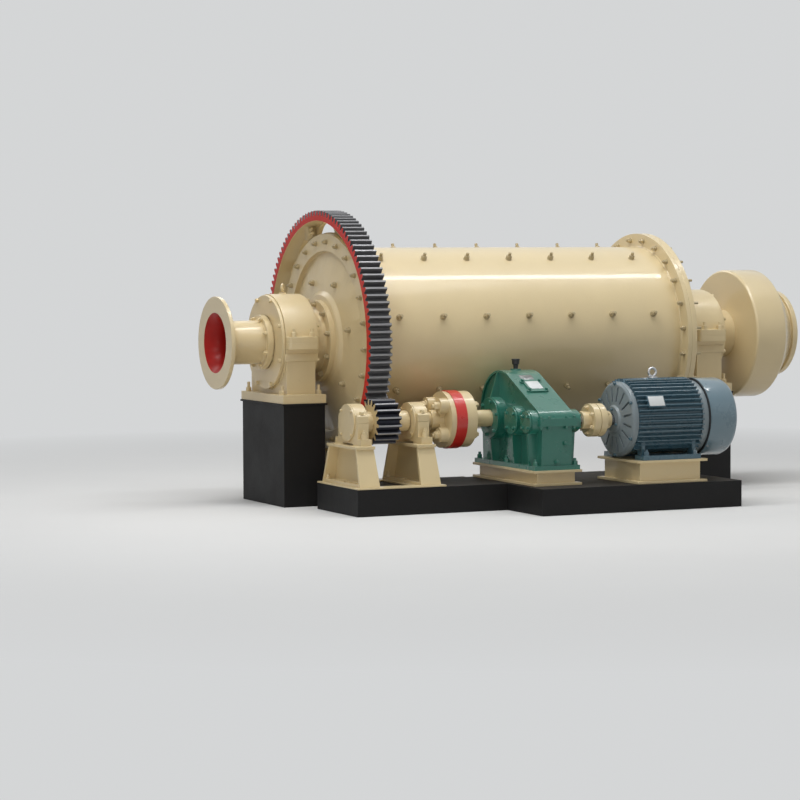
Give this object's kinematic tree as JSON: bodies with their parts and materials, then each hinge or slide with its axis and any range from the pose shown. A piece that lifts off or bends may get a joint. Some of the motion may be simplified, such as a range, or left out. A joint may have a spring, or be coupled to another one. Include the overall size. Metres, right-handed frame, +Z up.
{
  "type": "ball mill",
  "caption": "Horizontal grinding drum on trunnion bearings and plinths, turned through a split girth gear by a pinion, a gearbox and a finned motor.",
  "frame": {"origin": "on the floor, at the middle of the underside of the feed plinth, straight below the centre of the feed bearing", "axes": "+X along the mill axis from the feed end to the discharge end, +Z up, the drive on the -Y side"},
  "size_m": [4.27, 2.4751, 1.9049],
  "materials": {
    "cream_paint": "glossy cream enamel",
    "black_paint": "satin black paint",
    "gear_casting": "cut steel teeth, red rim face, cream web",
    "pinion_steel": "dark hardened steel with bright tooth edges",
    "red_paint": "glossy red enamel",
    "green_paint": "glossy green enamel",
    "teal_paint": "glossy blue-grey enamel",
    "zinc_plate": "galvanised steel",
    "bare_steel": "ground bearing steel",
    "black_plastic": "black moulded cap"
  },
  "bodies": {
    "foundation": {"feed_plinth": "black_paint", "discharge_plinth": "black_paint", "feed_bearing_pedestal": "cream_paint", "discharge_bearing_pedestal": "cream_paint", "feed_bearing_cap": "cream_paint", "discharge_bearing_cap": "cream_paint", "main_bearing_covers": "cream_paint", "main_bearing_rings": "bare_steel", "pinion_plinth": "black_paint", "gearbox_plinth": "black_paint", "drive_base_frame": "cream_paint", "outer_pinion_stand": "cream_paint", "inner_pinion_stand": "cream_paint", "pinion_bearing_blocks": "cream_paint", "pinion_bearing_caps": "cream_paint", "pinion_bearing_covers": "cream_paint", "gearbox_seat": "cream_paint", "gearbox_lower_case": "green_paint", "gearbox_upper_case": "green_paint", "gearbox_bearing_caps": "green_paint", "gearbox_hatch": "green_paint", "gearbox_breather": "black_plastic", "motor_seat": "cream_paint", "motor_body": "teal_paint", "motor_end_shields": "teal_paint", "motor_fan_cover": "teal_paint", "motor_terminal_box": "teal_paint", "motor_eyebolt": "zinc_plate"},
    "mill_drum": {"mill_shell": "cream_paint", "shell_end_flanges": "cream_paint", "feed_head": "cream_paint", "discharge_head": "cream_paint", "feed_trunnion": "cream_paint", "discharge_trunnion": "cream_paint", "girth_gear_upper_half": "gear_casting", "girth_gear_lower_half": "gear_casting", "feed_trumpet": "cream_paint", "discharge_hood": "cream_paint", "manhole_cover": "cream_paint"},
    "pinion_line": {"pinion": "pinion_steel", "pinion_shaft": "cream_paint", "slow_coupling": "cream_paint", "slow_coupling_band": "red_paint"},
    "motor_line": {"fast_coupling": "cream_paint", "motor_shaft": "bare_steel"}
  },
  "joints": [
    {"name": "drum_spin", "type": "hinge", "parent": "foundation", "child": "mill_drum", "pos_m": [0, 0, 1.05], "axis": [1, 0, 0], "continuous": true},
    {"name": "pinion_spin", "type": "hinge", "parent": "foundation", "child": "pinion_line", "pos_m": [0.315, -0.83716, 0.565], "axis": [1, 0, 0], "continuous": true},
    {"name": "motor_spin", "type": "hinge", "parent": "foundation", "child": "motor_line", "pos_m": [1.568, -1.33716, 0.565], "axis": [1, 0, 0], "continuous": true}
  ],
  "couplings": [
    {"joint": "pinion_spin", "follows": "drum_spin", "ratio": -6.5882},
    {"joint": "motor_spin", "follows": "drum_spin", "ratio": -41.506}
  ]
}
